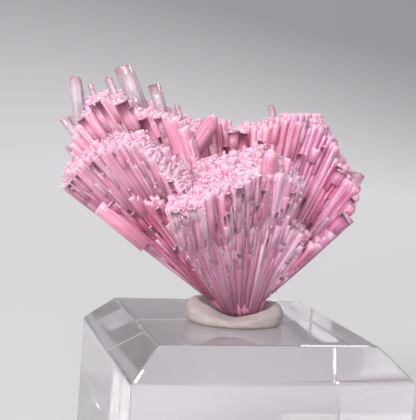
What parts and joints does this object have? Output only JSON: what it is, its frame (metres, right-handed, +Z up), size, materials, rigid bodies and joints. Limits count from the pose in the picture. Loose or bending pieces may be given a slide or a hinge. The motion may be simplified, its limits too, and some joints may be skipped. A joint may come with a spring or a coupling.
{
  "type": "bicolor tourmaline cluster",
  "caption": "Fan-shaped spray of slender pink tourmaline crystals, pressed into grey mineral tack on a clear bevelled acrylic display block.",
  "frame": {"origin": "middle of the flat underside of the clear block", "axes": "+Z up, X and Y along the square block's sides, -Y towards the side that the picture shows in front"},
  "size_m": [0.0378, 0.0318, 0.0485],
  "materials": {
    "pink_tourmaline": "translucent pink crystal, finely striated, with paler and clearer ends",
    "grey_tack": "matte putty with small dark specks",
    "clear_acrylic": "polished clear acrylic with fine scratches"
  },
  "bodies": {
    "root": {"tourmaline_cluster": "pink_tourmaline", "mineral_tack": "grey_tack", "acrylic_stand": "clear_acrylic"}
  },
  "joints": []
}
